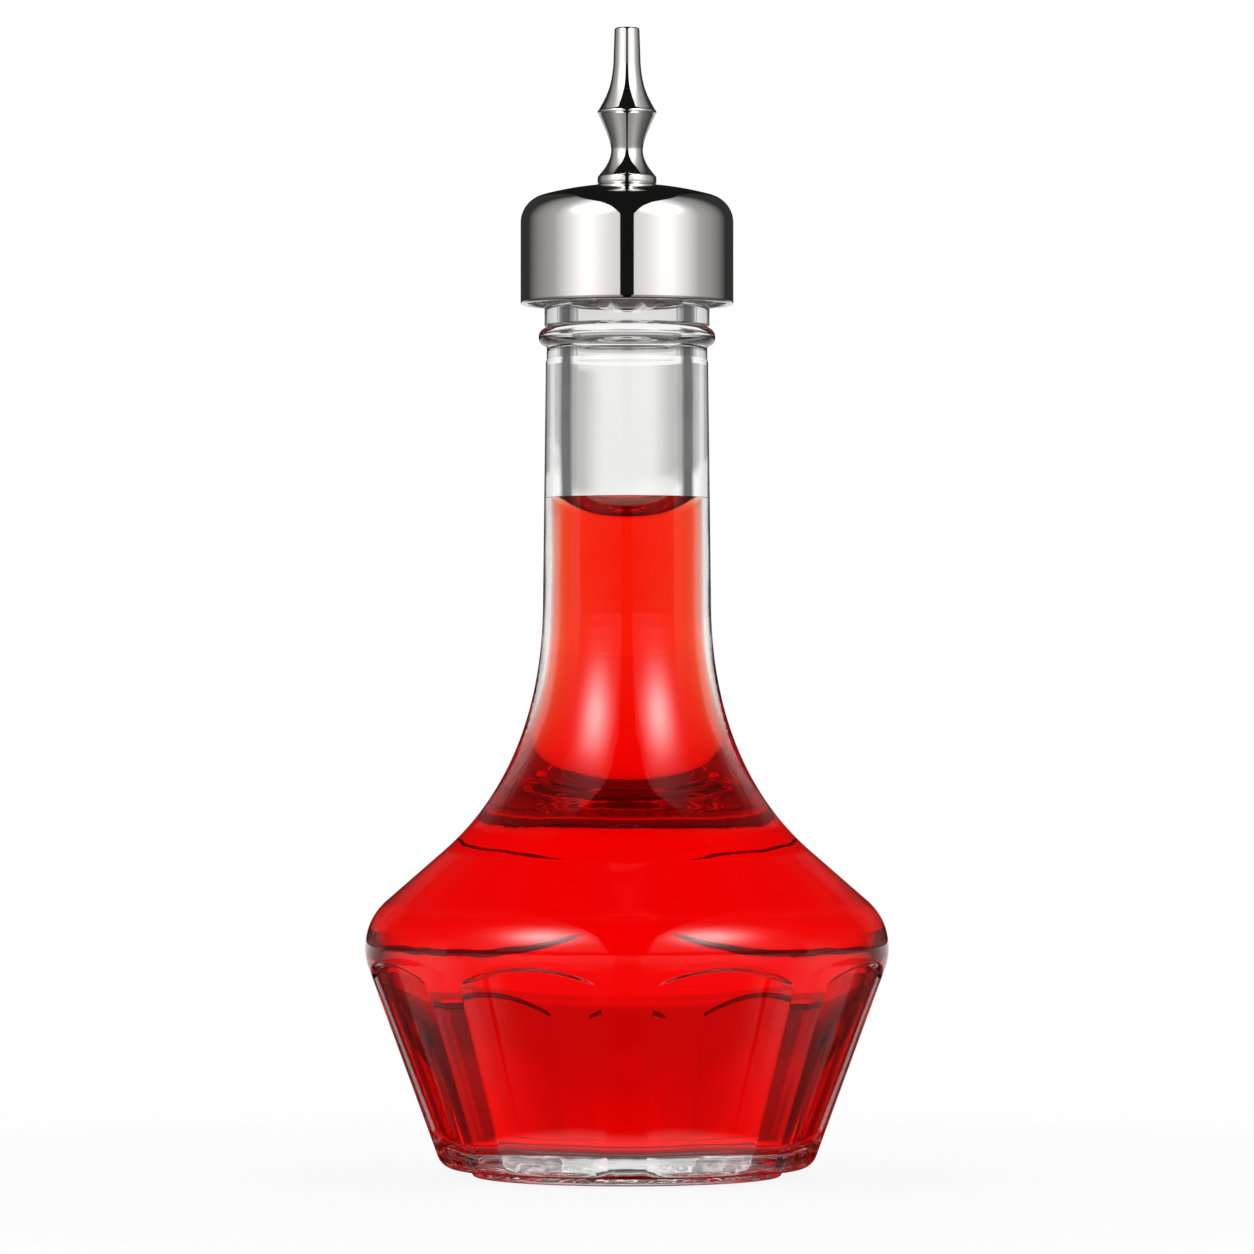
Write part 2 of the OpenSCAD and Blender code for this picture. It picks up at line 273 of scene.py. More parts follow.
def lathe(name, outline, columns, crease=35.0):
    """Draws an outline of (radius, height) points by extruding one point, spins it through an eighth
    of a turn and doubles that three times. Edges sharper than the crease angle stay sharp."""
    start_clean()
    bpy.ops.mesh.primitive_plane_add(size=MM, location=(0, 0, 0))
    piece = bpy.context.object
    piece.name = name
    piece.data.name = name
    bpy.ops.object.mode_set(mode="EDIT")
    bpy.ops.mesh.select_all(action="SELECT")
    bpy.ops.mesh.merge(type="CENTER")
    bpy.ops.transform.translate(value=(outline[0][0], 0, outline[0][1]))
    for here, there in zip(outline, outline[1:]):
        step = (there[0] - here[0], 0, there[1] - here[1])
        bpy.ops.mesh.extrude_region_move(TRANSFORM_OT_translate={"value": step})
    bpy.ops.mesh.select_all(action="SELECT")
    bpy.ops.mesh.spin(steps=columns // 8, angle=math.tau / 8, center=(0, 0, 0), axis=(0, 0, 1))
    for part in (8, 4, 2):
        bpy.ops.mesh.select_all(action="SELECT")
        bpy.ops.mesh.duplicate()
        bpy.ops.transform.rotate(value=math.tau / part, orient_axis="Z", center_override=(0, 0, 0))
    bpy.ops.mesh.select_all(action="SELECT")
    bpy.ops.mesh.remove_doubles(threshold=2 * MICRON)
    bpy.ops.mesh.normals_make_consistent(inside=False)
    bpy.ops.object.mode_set(mode="OBJECT")
    bpy.ops.object.shade_smooth_by_angle(angle=math.radians(crease))
    return piece


def settle(piece, body, node, material):
    """Gives a finished piece its material and body, and hides the node that it takes the place of."""
    piece.data.materials.clear()
    piece.data.materials.append(material)
    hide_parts(node)
    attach(piece, body)


class Wire:
    """A shader socket that takes part in arithmetic."""

    def __init__(self, shader, socket):
        self.shader = shader
        self.socket = socket

    def math(self, operation, *values):
        return self.shader.node("ShaderNodeMath", {"operation": operation}, dict(enumerate(values)))

    def __add__(self, other):
        return self.math("ADD", self, other)

    def __radd__(self, other):
        return self.math("ADD", other, self)

    def __sub__(self, other):
        return self.math("SUBTRACT", self, other)

    def __rsub__(self, other):
        return self.math("SUBTRACT", other, self)

    def __mul__(self, other):
        return self.math("MULTIPLY", self, other)

    def __rmul__(self, other):
        return self.math("MULTIPLY", other, self)

    def __truediv__(self, other):
        return self.math("DIVIDE", self, other)

    def __rtruediv__(self, other):
        return self.math("DIVIDE", other, self)

    def __pow__(self, other):
        return self.math("POWER", self, other)

    def __abs__(self):
        return self.math("ABSOLUTE", self)


class Shader:
    """The node tree of one material or of the world."""

    def __init__(self, owner):
        owner.use_nodes = True
        self.owner = owner
        self.tree = owner.node_tree
        self.tree.nodes.clear()

    def node(self, kind, settings=None, sockets=None, output=0):
        """Adds a node, with its settings first and then its sockets, and returns one of its outputs."""
        made = self.tree.nodes.new(kind)
        for key, value in (settings or {}).items():
            if key == "stops":
                self.set_stops(made.color_ramp, value)
            else:
                setattr(made, key, value)
        for key, value in (sockets or {}).items():
            if isinstance(value, Wire):
                self.tree.links.new(value.socket, made.inputs[key])
            else:
                made.inputs[key].default_value = value
        return Wire(self, made.outputs[output]) if made.outputs else made

    def set_stops(self, ramp, stops):
        """Sets a ramp's stops from (place, level) pairs."""
        while len(ramp.elements) < len(stops):
            ramp.elements.new(1.0)
        for element, (place, level) in zip(ramp.elements, stops):
            element.position = place
            element.color = (level, level, level, 1.0)


def grain(shader, scale, detail=2.0, stretch=(1.0, 1.0, 1.0)):
    """Noise over a piece, drawn out along its axes."""
    place = shader.node("ShaderNodeTexCoord", output="Object")
    drawn = shader.node("ShaderNodeMapping", None, {"Vector": place, "Scale": stretch})
    return shader.node("ShaderNodeTexNoise", None, {"Vector": drawn, "Scale": scale, "Detail": detail})


def ramp(shader, place, stops):
    """A level that runs through stops, which are (place, level) pairs, from 0 to 1."""
    return shader.node("ShaderNodeValToRGB", {"stops": stops}, {"Fac": place})


def fade(shader, value, start, end, first, last):
    """A level that goes smoothly from first to last as a value goes from start to end."""
    return shader.node(
        "ShaderNodeMapRange", {"interpolation_type": "SMOOTHSTEP"},
        {"Value": value, "From Min": start, "From Max": end, "To Min": first, "To Max": last},
    )


def bumped(shader, height, distance, strength=1.0):
    """A normal from a height between 0 and 1, over a distance in metres."""
    return shader.node(
        "ShaderNodeBump", None, {"Height": height, "Distance": distance, "Strength": strength}, "Normal"
    )


def finish_with(shader, sockets, volume=None):
    """Ends a material in a principled surface."""
    surface = shader.node("ShaderNodeBsdfPrincipled", None, sockets, "BSDF")
    ends = {"Surface": surface}
    if volume:
        ends["Volume"] = volume
    shader.node("ShaderNodeOutputMaterial", None, ends)
    return shader.owner


def glass_finish(tint, bend):
    """Clear pressed glass, a little wavy from the mould, with a trace of handling."""
    shader = Shader(bpy.data.materials.new("pressed_glass"))
    waves = grain(shader, 90.0, 1.0)
    haze = grain(shader, 160.0, 3.0)
    place = shader.node("ShaderNodeTexCoord", output="Object")
    z = shader.node("ShaderNodeSeparateXYZ", None, {"Vector": place}, "Z")
    knurl = grain(shader, 260.0, 1.0) * fade(shader, z, 2.0 * MM, 4.5 * MM, 3.0, 0.0)
    return finish_with(shader, {
        "Base Color": (*tint, 1.0),
        "Roughness": 0.0035 * haze,
        "IOR": bend,
        "Specular Tint": (0.6, 0.6, 0.6, 1.0),
        "Transmission Weight": 1.0,
        "Normal": bumped(shader, waves + knurl, 0.08 * MM),
    })


def bitters_finish(colour_, strength, bend):
    """A clear red liquid that soaks up green and blue."""
    shader = Shader(bpy.data.materials.new("red_bitters"))
    clouds = grain(shader, 30.0, 2.0)
    volume = shader.node(
        "ShaderNodeVolumeAbsorption", None, {"Color": (*colour_, 1.0), "Density": strength}, "Volume"
    )
    return finish_with(shader, {
        "Base Color": (1.0, 1.0, 1.0, 1.0),
        "Roughness": 0.0035 * clouds,
        "IOR": bend,
        "Specular Tint": (0.0, 0.0, 0.0, 1.0),
        "Transmission Weight": 1.0,
    }, volume)


def steel_finish(name, colour_, rough, line_scale, line_depth):
    """Polished steel with the faint rings that the polishing wheel leaves, and faint smudges."""
    shader = Shader(bpy.data.materials.new(name))
    rings = grain(shader, line_scale, 2.0, (0.05, 0.05, 1.0))
    smudge = grain(shader, 140.0, 4.0)
    return finish_with(shader, {
        "Base Color": (*colour_, 1.0),
        "Metallic": 1.0,
        "Roughness": rough * (0.6 + 0.8 * smudge),
        "Normal": bumped(shader, rings, line_depth),
    })


def silicone_finish(colour_):
    """Milky silicone with a soft skin."""
    shader = Shader(bpy.data.materials.new("milky_silicone"))
    skin = grain(shader, 2500.0, 2.0)
    cloud = grain(shader, 120.0, 3.0)
    return finish_with(shader, {
        "Base Color": (*colour_, 1.0),
        "Roughness": 0.32 + 0.16 * cloud,
        "IOR": 1.41,
        "Transmission Weight": 0.45,
        "Subsurface Weight": 0.2,
        "Subsurface Radius": (0.002, 0.002, 0.002),
        "Normal": bumped(shader, skin, 0.02 * MM, 0.6),
    })


def plastic_finish(colour_):
    """Matt moulded plastic with a fine sparked grain."""
    shader = Shader(bpy.data.materials.new("liner_plastic"))
    spark = grain(shader, 3200.0, 3.0)
    flow = grain(shader, 90.0, 2.0, (1.0, 1.0, 0.25))
    return finish_with(shader, {
        "Base Color": (*colour_, 1.0),
        "Roughness": 0.42 + 0.15 * flow,
        "Normal": bumped(shader, spark, 0.02 * MM, 0.7),
    })


def wall_r(g, z, depth=0.0):
    """Radius of the leaning body wall at a height, a depth inside the glass."""
    edge = g.body_r - g.shoulder_round + (g.shoulder_round - depth) / math.cos(g.taper)
    return edge + (z - g.shoulder_z) * math.tan(g.taper)


def wall_corner(g, z, radius, depth, steps):
    """The rounded corner between a level face and the leaning wall."""
    centre = (wall_r(g, z + radius, depth) - radius / math.cos(g.taper), z + radius)
    return arc(centre, radius, -90.0, -math.degrees(g.taper), steps)


def flare_top(g):
    """Height where the sweep ends and the neck begins."""
    return g.shoulder_z + g.shoulder_round * math.sin(g.slope) + g.cone_h + g.flare_h


def sweep(g, depth, end_r, low, high, steps):
    """The side from the top of the shoulder edge to the foot of the neck, a depth inside the glass."""
    inner = g.shoulder_round - depth
    across, up = math.cos(g.slope), math.sin(g.slope)
    start = (
        g.body_r - g.shoulder_round + inner * across - g.cone_h * math.tan(g.slope),
        g.shoulder_z + inner * up + g.cone_h,
    )
    end = (end_r, flare_top(g))
    low_handle = (start[0] - low * up, start[1] + low * across)
    high_handle = (end[0], end[1] - high)
    return curve(start, low_handle, high_handle, end, steps)


def shoulder_arc(g, depth, start, steps):
    """The rounded shoulder edge, from an angle in degrees up to the cone."""
    centre = (g.body_r - g.shoulder_round, g.shoulder_z)
    return arc(centre, g.shoulder_round - depth, start, math.degrees(g.slope), steps)


def cavity_side(g, grown):
    """The inside of the bottle from the middle of the floor to the neck's bore, grown into the glass."""
    low = g.floor_z - grown
    depth = g.wall - grown
    corner = wall_corner(g, low, g.floor_round, depth, 10)
    shoulder = shoulder_arc(g, depth, -math.degrees(g.taper), 24)
    floor = [(corner[0][0] * t, low) for t in (0.0, 0.4, 0.8)]
    rest = sweep(g, depth, g.bore_r + grown, g.inner_low, g.inner_high, 44)
    return floor + corner + shoulder + rest


class Facets:
    """The flat panels pressed into the body: planes through the tip of the body's cone."""

    def __init__(self, g):
        self.g = g
        self.pitch = math.tau / g.panels
        self.half = self.pitch / 2 - g.rib_angle / 2
        self.tilt = math.atan(math.tan(g.taper) * math.cos(self.half))
        self.tip_z = g.shoulder_z - (wall_r(g, g.shoulder_z)) / math.tan(g.taper)
        self.arch_v = (g.arch_z - self.tip_z) / math.cos(self.tilt) - g.arch_r
        self.foot_z = self.edge_z(self.half)
        self.middle_z = (self.foot_z + g.arch_z) / 2

    def off_panel(self, turn):
        """Angle from the middle of the nearest panel."""
        return abs((turn % self.pitch) - self.pitch / 2)

    def edge_z(self, off):
        """Height of the arch's edge on the glass at an angle from the panel's middle."""
        off = min(off, self.half)
        z = self.g.arch_z
        for _ in range(12):
            r = body_side(self.g, z)
            v = self.arch_v + math.sqrt(self.g.arch_r ** 2 - (r * math.sin(off)) ** 2)
            z = self.tip_z + (v - r * math.cos(off) * math.sin(self.tilt)) / math.cos(self.tilt)
        return z

    def press(self, turn, z):
        """Radius and height of the pressed glass for a row that was turned at height z."""
        g = self.g
        off = self.off_panel(turn)
        reach = 4.2 * MM if z < self.middle_z else g.shoulder_z - self.middle_z
        rise = (self.edge_z(off) - self.middle_z) * ease(1.0 - (abs(z - self.middle_z) - 0.5 * MM) / reach)
        z += rise
        r = body_side(g, z)
        plane = (z - self.tip_z) * math.tan(self.tilt) / math.cos(off)
        v = r * math.cos(off) * math.sin(self.tilt) + (z - self.tip_z) * math.cos(self.tilt)
        inside = g.arch_r - math.hypot(r * math.sin(off), v - self.arch_v)
        mask = ease(0.5 + inside / (2 * g.arch_soft))
        return r - mask * (r - soft_min(r, plane, g.rib_soft)), z


def body_side(g, z):
    """Radius of the turned body at a height, below the widest ring or a little above it."""
    below = g.shoulder_z - z
    if below > g.shoulder_round * math.sin(g.taper):
        return wall_r(g, z)
    return g.body_r - g.shoulder_round + math.sqrt(g.shoulder_round ** 2 - below ** 2)


class BITTERS_OT_glass_bottle(bpy.types.Operator):
    """Turn the glass bottle and press its arched panels"""

    bl_idname = "bitters.glass_bottle"
    bl_label = "Glass bottle"

    def execute(self, context):
        g = context.scene.bitters_bottle
        facets = Facets(g)
        columns = self.column_angles(g)
        piece = lathe("bottle_glass", supported(self.outer(g, facets) + self.inner(g)), len(columns))
        self.press_panels(piece, g, facets, columns)
        settle(piece, "bottle", "glass_bottle", glass_finish(g.tint, g.bend))
        return {"FINISHED"}

    def column_angles(self, g):
        """Angles of the columns, closest together at the edges of the ribs."""
        edge = g.rib_angle / 2
        near = 0.6 / 5.5 * edge
        half = math.pi / g.panels
        steps = (
            spread(0, edge - near, 2)
            + spread(edge - near, edge + near, 6)[1:]
            + spread(edge + near, half, 8)[1:]
        )
        sector = steps[:-1] + [2 * half - a for a in reversed(steps[1:])]
        return [a + 2 * half * i for i in range(g.panels) for a in sector]

    def outer(self, g, facets):
        """Outline from the middle of the punt up to the lip."""
        edge = 0.5 * MM
        foot_in = g.foot_r - g.foot_w
        punt_r = (foot_in ** 2 + g.punt_h ** 2) / (2 * g.punt_h)
        punt_angle = math.degrees(math.asin(foot_in / punt_r))
        bead_low = g.lip_z - g.finish_h - g.bead_h
        heel = wall_corner(g, g.foot_h, g.heel_round, 0.0, 8)
        middle = facets.middle_z
        fine = 0.55 * MM
        rows = (
            spread(heel[-1][1], middle - 4.7 * MM, 4)[1:]
            + spread(middle - 4.7 * MM, middle - fine, 7)[1:]
            + spread(middle - fine, middle + fine, 11)[1:]
            + spread(middle + fine, g.shoulder_z, 7)[1:]
        )
        return (
            arc((0.0, g.punt_h - punt_r), punt_r, 90.0, 90.0 - punt_angle, 8)
            + arc((foot_in + edge, edge), edge, -135.0, -90.0, 3)[1:]
            + arc((g.foot_r - edge, edge), edge, -90.0, 0.0, 6)
            + [(g.foot_r, g.foot_h)]
            + heel
            + [(body_side(g, z), z) for z in rows]
            + shoulder_arc(g, 0.0, 0.0, 22)[1:]
            + sweep(g, 0.0, g.neck_r, g.flare_low, g.flare_high, 48)
            + [
                (g.neck_top_r + g.seam_step, bead_low - g.seam_drop),
                (g.neck_top_r, bead_low - g.seam_drop + 4 * g.seam_step),
                (g.neck_top_r, bead_low - 0.3 * MM),
            ]
            + arc((g.bead_r - g.bead_h / 2, bead_low + g.bead_h / 2), g.bead_h / 2, -78.0, 78.0, 18)
            + [(g.finish_r, bead_low + g.bead_h + 0.3 * MM)]
            + arc((g.finish_r - g.lip_round, g.lip_z - g.lip_round), g.lip_round, 0.0, 90.0, 8)
        )

    def inner(self, g):
        """Outline from the lip down the bore to the middle of the floor."""
        lip_in = g.lip_round / 2
        lip = arc((g.bore_r + lip_in, g.lip_z - lip_in), lip_in, 90.0, 180.0, 6)
        return lip + list(reversed(cavity_side(g, 0.0)))

    def press_panels(self, piece, g, facets, columns):
        """Moves the columns to their angles and the outer wall's points on to the panels."""
        low = g.foot_h + g.heel_round * (1 - math.sin(g.taper))
        for vertex in piece.data.vertices:
            x, y, z = vertex.co
            r = math.hypot(x, y)
            if r < MICRON:
                continue
            index = round(math.atan2(y, x) % math.tau / math.tau * len(columns)) % len(columns)
            turn = columns[index]
            if low - MM < z < g.shoulder_z and r > wall_r(g, z, g.wall * 0.4) - g.heel_round * (z < low):
                if z >= low - 10 * MICRON:
                    r, z = facets.press(turn, z)
                else:
                    r = soft_min(r, (z - facets.tip_z) * math.tan(facets.tilt) / math.cos(facets.off_panel(turn)), g.rib_soft)
            vertex.co = (r * math.cos(turn), r * math.sin(turn), z)
        piece.data.update()


class BITTERS_OT_filling(bpy.types.Operator):
    """Fill the bottle with bitters"""

    bl_idname = "bitters.filling"
    bl_label = "Bitters"

    def execute(self, context):
        g = context.scene.bitters_bottle
        f = context.scene.bitters_filling
        edge_r = g.bore_r + f.wetting
        surface = [
            (edge_r * s, f.fill_z - f.meniscus_h * (1 - s ** 3)) for s in spread(1.0, 0.0, 30)
        ]
        piece = lathe("red_bitters", supported(cavity_side(g, f.wetting) + surface), 184)
        settle(piece, "bottle", "bitters", bitters_finish(f.colour, f.strength, f.bend))
        return {"FINISHED"}


def crown_z(c, r, depth):
    """Height of the crown at a radius, a depth below the outside."""
    top = c.seat_z - math.sqrt(c.crown_r ** 2 - c.seat_r ** 2)
    return top + math.sqrt((c.crown_r - depth) ** 2 - r * r)


def cap_side(c, depth, from_z, in_r):
    """The cap's outline a depth below its outside, from the skirt to the seat."""
    out, reach = c.cap_r - c.cap_round, c.crown_r - c.cap_round
    skirt_z = c.seat_z - math.sqrt(c.crown_r ** 2 - c.seat_r ** 2) + math.sqrt(reach ** 2 - out ** 2)
    end = math.degrees(math.acos(out / reach))
    corner = arc((out, skirt_z), c.cap_round - depth, 0.0, end, 20)
    skirt = [(c.cap_r - depth, from_z)]
    crown = [(r, crown_z(c, r, depth)) for r in spread(corner[-1][0], in_r, 14)[1:]]
    return skirt + corner + crown


class BITTERS_OT_cap(bpy.types.Operator):
    """Draw the steel cap and mould its liner"""

    bl_idname = "bitters.cap"
    bl_label = "Cap and liner"

    def execute(self, context):
        c = context.scene.bitters_cap
        s = context.scene.bitters_spout
        p = context.scene.bitters_stopper
        self.shell(c, s.shank_r + p.shank_gap)
        self.liner(c, s.shank_r + p.shank_gap, context.scene.bitters_bottle.finish_r)
        return {"FINISHED"}

    def shell(self, c, hole_r):
        """The steel shell, with a rolled rim and a drilled seat."""
        edge = c.steel / 2
        rim = arc((c.cap_r - edge, c.rim_z + edge), edge, -180.0, 0.0, 10)
        outside = cap_side(c, 0.0, c.rim_z + edge, c.seat_r)[1:]
        inside = list(reversed(cap_side(c, c.steel, c.rim_z + edge, c.seat_r)))[:-1]
        seat = [(hole_r, c.seat_z), (hole_r, c.seat_z - c.steel), (c.seat_r, c.seat_z - c.steel)]
        piece = lathe("steel_cap", supported(rim + outside + seat + inside + rim[:1]), 192, 40.0)
        settle(piece, "dasher", "cap_shell", steel_finish("cap_steel", c.metal, 0.03, 9000.0, 0.03 * MICRON))

    def liner(self, c, hole_r, finish_r):
        """The liner that fills the cap between the steel and the stopper."""
        gap = c.steel + c.liner_gap
        pocket_r = GASKET_HIGH.x + c.liner_gap
        top_r = max(c.seat_r, pocket_r + c.steel)
        low_z = LINER_LOW.z
        liner_z = STOPPER_HIGH.z
        pocket_z = GASKET_LOW.z
        in_r = finish_r + 0.5 * MM
        start = [(hole_r, liner_z), (in_r, liner_z), (in_r, low_z)]
        end = [(pocket_r, crown_z(c, top_r, gap)), (pocket_r, pocket_z), (hole_r, pocket_z)]
        piece = lathe("cap_lining", start + cap_side(c, gap, low_z, top_r) + end + start[:1], 128, 40.0)
        settle(piece, "dasher", "cap_liner", plastic_finish(c.plastic))


class BITTERS_OT_spout(bpy.types.Operator):
    """Turn the spout"""

    bl_idname = "bitters.spout"
    bl_label = "Spout"

    def execute(self, context):
        s = context.scene.bitters_spout
        seat = context.scene.bitters_cap.seat_z
        outline = supported([(r, z + seat) for r, z in self.profile(s, seat)])
        piece = lathe("pouring_spout", outline + outline[:1], 128, 50.0)
        settle(piece, "dasher", "spout", steel_finish("spout_steel", s.metal, 0.03, 9000.0, 0.03 * MICRON))
        return {"FINISHED"}

    def profile(self, s, seat):
        """Outline of the spout above and below its seat."""
        edge = 0.35 * MM
        low = s.shank_low - seat
        tip = s.tip_z - seat
        inside = [(s.dash_r, z) for z in spread(tip, low, 6)[:-1]]
        ring = arc((s.ring_r - edge, s.ring_z), edge, -55.0, 55.0, 10)
        return (
            [(s.dash_r, low), (s.shank_r - edge, low), (s.shank_r, low + edge), (s.shank_r, 0.0)]
            + arc((s.ring_r - edge, edge), edge, -90.0, 0.0, 8)
            + arc((s.ring_r - edge, s.flange_h - edge), edge, 0.0, 90.0, 8)
            + curve(
                (s.ring_r - edge / 2, s.flange_h), (s.waist_r + 0.8 * MM, s.flange_h + 0.95 * MM),
                (s.waist_r, s.waist_z - 1.3 * MM), (s.waist_r, s.waist_z), 28,
            )
            + curve(
                (s.waist_r, s.waist_z), (s.waist_r, s.waist_z + 1.2 * MM),
                (s.waist_r + 0.9 * MM, s.ring_z - 2.05 * MM), ring[0], 28,
            )[1:-1]
            + ring
            + curve(
                ring[-1], (s.ring_r - 1.25 * MM, s.ring_z + 2.2 * MM),
                (s.tip_r + 0.4 * MM, s.ring_z + 3.4 * MM), (s.tip_r + 0.15 * MM, s.ring_z + 6.6 * MM), 32,
            )[1:]
            + arc((s.tip_r - edge, tip - edge), edge, 0.0, 90.0, 8)
            + inside
        )


class BITTERS_OT_seals(bpy.types.Operator):
    """Mould the ribbed stopper and the gasket"""

    bl_idname = "bitters.seals"
    bl_label = "Stopper and gasket"

    def execute(self, context):
        g = context.scene.bitters_bottle
        p = context.scene.bitters_stopper
        hole_r = context.scene.bitters_spout.shank_r + p.shank_gap
        silicone = silicone_finish(p.silicone)
        stopper = lathe("ribbed_stopper", self.plug(g, p, hole_r), 160, 50.0)
        settle(stopper, "dasher", "stopper", silicone)
        gasket = lathe("spout_seal", self.ring(hole_r, GASKET_HIGH.x, GASKET_LOW.z, GASKET_HIGH.z), 96, 50.0)
        settle(gasket, "dasher", "spout_gasket", silicone)
        return {"FINISHED"}

    def plug(self, g, p, hole_r):
        """Outline of the flange, the ribs and the nose."""
        core_r = g.bore_r - p.plug_gap - p.rib_rise
        low, top = STOPPER_LOW.z, STOPPER_HIGH.z
        flange_r = STOPPER_HIGH.x - 0.4 * MM
        pitch = (g.lip_z - low) / (p.ribs + 0.5)
        nose = 0.7 * MM
        outline = [(hole_r, top)]
        outline += arc((flange_r, top - 0.4 * MM), 0.4 * MM, 90.0, 0.0, 6)
        outline += arc((flange_r, g.lip_z + 0.4 * MM), 0.4 * MM, 0.0, -90.0, 6)
        outline.append((core_r, g.lip_z))
        for i in range(p.ribs):
            z = g.lip_z - pitch * (i + 0.8)
            turns = [math.radians(a) for a in spread(90.0, -90.0, 14)]
            outline += [(core_r + p.rib_rise * math.cos(a), z + 0.32 * pitch * math.sin(a)) for a in turns]
        outline += arc((core_r - nose, low + nose), nose, 0.0, -90.0, 8)
        return outline + [(hole_r, low), (hole_r, top)]

    def ring(self, in_r, out_r, low, high):
        """Outline of a flat ring with eased edges."""
        edge = 0.15 * MM
        return (
            [(in_r, low), (in_r, high)]
            + arc((out_r - edge, high - edge), edge, 90.0, 0.0, 4)
            + arc((out_r - edge, low + edge), edge, 0.0, -90.0, 4)
            + [(in_r, low)]
        )


class BITTERS_OT_fasteners(bpy.types.Operator):
    """Make the clamp washer and the retaining nut"""

    bl_idname = "bitters.fasteners"
    bl_label = "Washer and nut"

    def execute(self, context):
        p = context.scene.bitters_stopper
        hole_r = context.scene.bitters_spout.shank_r + p.shank_gap
        steel = steel_finish("fastener_steel", p.metal, 0.22, 5000.0, 1.5 * MICRON)
        washer = lathe("clamping_washer", self.washer_ring(hole_r), 96, 40.0)
        settle(washer, "dasher", "clamp_washer", steel)
        nut = self.nut(p, hole_r)
        settle(nut, "dasher", "retaining_nut", steel)
        return {"FINISHED"}

    def washer_ring(self, hole_r):
        """Outline of the stamped washer, rounded on its upper edge and sharp below."""
        low, high, out_r = WASHER_LOW.z, WASHER_HIGH.z, WASHER_HIGH.x
        edge = 0.2 * MM
        corner = arc((out_r - edge, high - edge), edge, 90.0, 0.0, 5)
        return [(hole_r, low), (hole_r, high)] + corner + [(out_r, low), (hole_r, low)]

    def nut(self, p, hole_r):
        """A hexagon pressed out of a turned ring, with its corners bevelled underneath."""
        low, high = NUT_LOW.z, NUT_HIGH.z
        corner_r = p.nut_flats / math.sqrt(3)
        bevel_r = corner_r - p.bevel
        heights = spread(low, low + p.bevel, 4) + spread(low + p.bevel, high, 4)[1:]
        ring = [(hole_r, low), (bevel_r, low)] + [(corner_r, z) for z in heights[1:]] + [(hole_r, high), (hole_r, low)]
        piece = lathe("lock_nut", ring, 96, 25.0)
        for vertex in piece.data.vertices:
            x, y, z = vertex.co
            r = math.hypot(x, y)
            if r > hole_r + 0.2 * MM:
                turn = math.atan2(y, x)
                flat = p.nut_flats / 2 / math.cos((turn % (math.pi / 3)) - math.pi / 6)
                r = min(flat, bevel_r + (z - low))
                vertex.co = (r * math.cos(turn), r * math.sin(turn), z)
        piece.data.update()
        return piece


